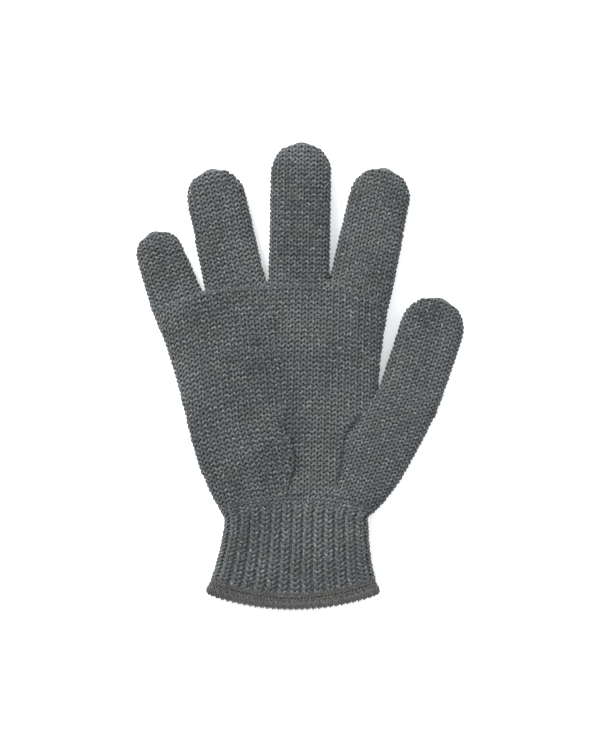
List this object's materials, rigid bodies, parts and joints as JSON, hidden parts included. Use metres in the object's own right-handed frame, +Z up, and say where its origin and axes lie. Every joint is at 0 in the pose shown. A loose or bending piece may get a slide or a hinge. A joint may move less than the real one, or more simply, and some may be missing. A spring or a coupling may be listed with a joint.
{
  "type": "knitted glove",
  "caption": "Seamless knitted five-finger glove with a ribbed elastic cuff and an overcast hem, lying flat, palm side up.",
  "frame": {"origin": "middle of the footprint of the glove lying flat, on the surface it lies on", "axes": "+Y from the cuff towards the fingertips, +X towards the thumb, +Z up out of the surface; the palm side is up"},
  "size_m": [0.1626, 0.229, 0.013],
  "materials": {
    "knit_fabric": "slate-grey plain knit, matt",
    "rib_knit": "slate-grey rib knit, matt",
    "hem_yarn": "brownish-grey overcast yarn, matt",
    "elastic_yarn": "covered elastic thread"
  },
  "bodies": {
    "palm": {"upper_palm": "knit_fabric", "lower_palm": "knit_fabric"},
    "cuff": {"rib_cuff": "rib_knit", "hem_edging": "hem_yarn", "cuff_elastic": "elastic_yarn"},
    "little_finger_base": {"little_finger_base": "knit_fabric"},
    "little_finger_middle": {"little_finger_middle": "knit_fabric"},
    "little_finger_tip": {"little_finger_tip": "knit_fabric"},
    "ring_finger_base": {"ring_finger_base": "knit_fabric"},
    "ring_finger_middle": {"ring_finger_middle": "knit_fabric"},
    "ring_finger_tip": {"ring_finger_tip": "knit_fabric"},
    "middle_finger_base": {"middle_finger_base": "knit_fabric"},
    "middle_finger_middle": {"middle_finger_middle": "knit_fabric"},
    "middle_finger_tip": {"middle_finger_tip": "knit_fabric"},
    "index_finger_base": {"index_finger_base": "knit_fabric"},
    "index_finger_middle": {"index_finger_middle": "knit_fabric"},
    "index_finger_tip": {"index_finger_tip": "knit_fabric"},
    "thumb_base": {"thumb_base": "knit_fabric"},
    "thumb_tip": {"thumb_tip": "knit_fabric"}
  },
  "joints": [
    {"name": "wrist", "type": "hinge", "parent": "palm", "child": "cuff", "pos_m": [-0.0019, -0.07105, 0.013], "axis": [-1, 0, 0], "range_deg": [0, 75]},
    {"name": "little_base_bend", "type": "hinge", "parent": "palm", "child": "little_finger_base", "pos_m": [-0.06081, 0.03583, 0.011], "axis": [0.9397, 0.342, 0], "range_deg": [0, 75]},
    {"name": "little_middle_bend", "type": "hinge", "parent": "little_finger_base", "child": "little_finger_middle", "pos_m": [-0.06559, 0.04899, 0.011], "axis": [0.9397, 0.342, 0], "range_deg": [0, 75]},
    {"name": "little_tip_bend", "type": "hinge", "parent": "little_finger_middle", "child": "little_finger_tip", "pos_m": [-0.06936, 0.05933, 0.011], "axis": [0.9397, 0.342, 0], "range_deg": [0, 40]},
    {"name": "ring_base_bend", "type": "hinge", "parent": "palm", "child": "ring_finger_base", "pos_m": [-0.03188, 0.04378, 0.011], "axis": [0.9763, 0.2164, 0], "range_deg": [0, 75]},
    {"name": "ring_middle_bend", "type": "hinge", "parent": "ring_finger_base", "child": "ring_finger_middle", "pos_m": [-0.03686, 0.06624, 0.011], "axis": [0.9763, 0.2164, 0], "range_deg": [0, 75]},
    {"name": "ring_tip_bend", "type": "hinge", "parent": "ring_finger_middle", "child": "ring_finger_tip", "pos_m": [-0.04097, 0.08479, 0.011], "axis": [0.9763, 0.2164, 0], "range_deg": [0, 40]},
    {"name": "middle_base_bend", "type": "hinge", "parent": "palm", "child": "middle_finger_base", "pos_m": [-0.0002, 0.05535, 0.011], "axis": [0.9998, -0.0175, 0], "range_deg": [0, 75]},
    {"name": "middle_middle_bend", "type": "hinge", "parent": "middle_finger_base", "child": "middle_finger_middle", "pos_m": [0.0002, 0.07834, 0.011], "axis": [0.9998, -0.0175, 0], "range_deg": [0, 75]},
    {"name": "middle_tip_bend", "type": "hinge", "parent": "middle_finger_middle", "child": "middle_finger_tip", "pos_m": [0.00053, 0.09734, 0.011], "axis": [0.9998, -0.0175, 0], "range_deg": [0, 40]},
    {"name": "index_base_bend", "type": "hinge", "parent": "palm", "child": "index_finger_base", "pos_m": [0.03184, 0.05172, 0.011], "axis": [0.9774, -0.2113, 0], "range_deg": [0, 75]},
    {"name": "index_middle_bend", "type": "hinge", "parent": "index_finger_base", "child": "index_finger_middle", "pos_m": [0.03606, 0.07127, 0.011], "axis": [0.9774, -0.2113, 0], "range_deg": [0, 75]},
    {"name": "index_tip_bend", "type": "hinge", "parent": "index_finger_middle", "child": "index_finger_tip", "pos_m": [0.03955, 0.0874, 0.011], "axis": [0.9774, -0.2113, 0], "range_deg": [0, 40]},
    {"name": "thumb_base_bend", "type": "hinge", "parent": "palm", "child": "thumb_base", "pos_m": [0.05367, -0.01281, 0.011], "axis": [0.9489, -0.3156, 0], "range_deg": [0, 50]},
    {"name": "thumb_tip_bend", "type": "hinge", "parent": "thumb_base", "child": "thumb_tip", "pos_m": [0.0622, 0.01281, 0.011], "axis": [0.9489, -0.3156, 0], "range_deg": [0, 75]}
  ]
}
